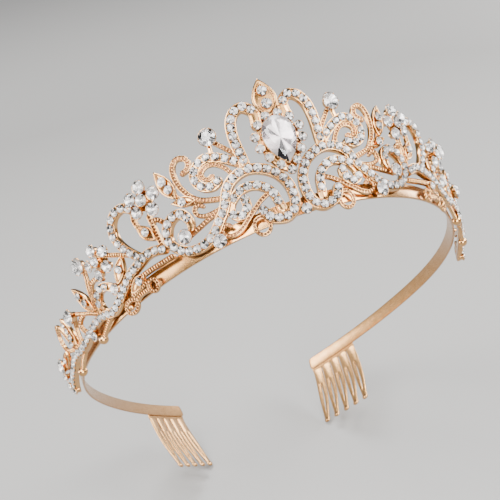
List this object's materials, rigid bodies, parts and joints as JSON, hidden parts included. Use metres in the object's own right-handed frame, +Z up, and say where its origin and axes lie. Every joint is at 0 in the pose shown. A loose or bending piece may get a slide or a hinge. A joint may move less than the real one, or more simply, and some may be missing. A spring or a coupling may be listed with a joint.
{
  "type": "bridal tiara",
  "caption": "Horseshoe headband of flat rose-gold strip with openwork crystal scroll and flower filigree over the front, a pear crystal at the centre and a hair comb at each end.",
  "frame": {"origin": "on the surface under the lowest comb feet, centred across and along the tiara (bottom centre of its box)", "axes": "+X to the right of a viewer facing the front, -Y towards that viewer, +Z up; the headband's plane is pitched 46.7 degrees about X, with the front high and the combs low"},
  "size_m": [0.1508, 0.1362, 0.1863],
  "materials": {
    "rose_gold_strip": "polished rose-gold plate on a flat strip",
    "rose_gold_comb": "polished rose-gold plate on a stamped comb",
    "rose_gold_casting": "polished rose-gold plate on a cast alloy with beaded edges",
    "pear_glass": "faceted clear crystal glass, foil-backed",
    "crystal_glass": "faceted clear crystal glass, foil-backed"
  },
  "bodies": {
    "root": {"base_crystal": "crystal_glass", "centre_filigree": "rose_gold_casting", "halo_crystal_bottom": "crystal_glass", "halo_crystal_left_1": "crystal_glass", "halo_crystal_left_2": "crystal_glass", "halo_crystal_left_3": "crystal_glass", "halo_crystal_left_4": "crystal_glass", "halo_crystal_left_5": "crystal_glass", "halo_crystal_left_6": "crystal_glass", "halo_crystal_right_1": "crystal_glass", "halo_crystal_right_2": "crystal_glass", "halo_crystal_right_3": "crystal_glass", "halo_crystal_right_4": "crystal_glass", "halo_crystal_right_5": "crystal_glass", "halo_crystal_right_6": "crystal_glass", "headband": "rose_gold_strip", "leaf_crystal_lower": "crystal_glass", "leaf_crystal_upper": "crystal_glass", "left_blossom_crystals": "crystal_glass", "left_comb": "rose_gold_comb", "left_crown_ball_crystal": "crystal_glass", "left_curl_crystal_row": "crystal_glass", "left_ear_crystal_row": "crystal_glass", "left_end_round_crystal": "crystal_glass", "left_flower_crystal_1": "crystal_glass", "left_flower_crystal_2": "crystal_glass", "left_flower_crystal_3": "crystal_glass", "left_flower_crystal_4": "crystal_glass", "left_flower_crystal_5": "crystal_glass", "left_flower_crystal_6": "crystal_glass", "left_loop_ball_crystal": "crystal_glass", "left_lower_round_crystal": "crystal_glass", "left_petal_crystal": "crystal_glass", "left_scroll_crystal_row": "crystal_glass", "left_side_round_crystal": "crystal_glass", "left_wing_crystal_row": "crystal_glass", "left_wing_filigree": "rose_gold_casting", "left_wing_round_crystal": "crystal_glass", "pear_crystal": "pear_glass", "pear_setting": "rose_gold_casting", "right_blossom_crystals": "crystal_glass", "right_comb": "rose_gold_comb", "right_crown_ball_crystal": "crystal_glass", "right_curl_crystal_row": "crystal_glass", "right_ear_crystal_row": "crystal_glass", "right_end_round_crystal": "crystal_glass", "right_flower_crystal_1": "crystal_glass", "right_flower_crystal_2": "crystal_glass", "right_flower_crystal_3": "crystal_glass", "right_flower_crystal_4": "crystal_glass", "right_flower_crystal_5": "crystal_glass", "right_flower_crystal_6": "crystal_glass", "right_loop_ball_crystal": "crystal_glass", "right_lower_round_crystal": "crystal_glass", "right_petal_crystal": "crystal_glass", "right_scroll_crystal_row": "crystal_glass", "right_side_round_crystal": "crystal_glass", "right_wing_crystal_row": "crystal_glass", "right_wing_filigree": "rose_gold_casting", "right_wing_round_crystal": "crystal_glass"}
  },
  "joints": []
}
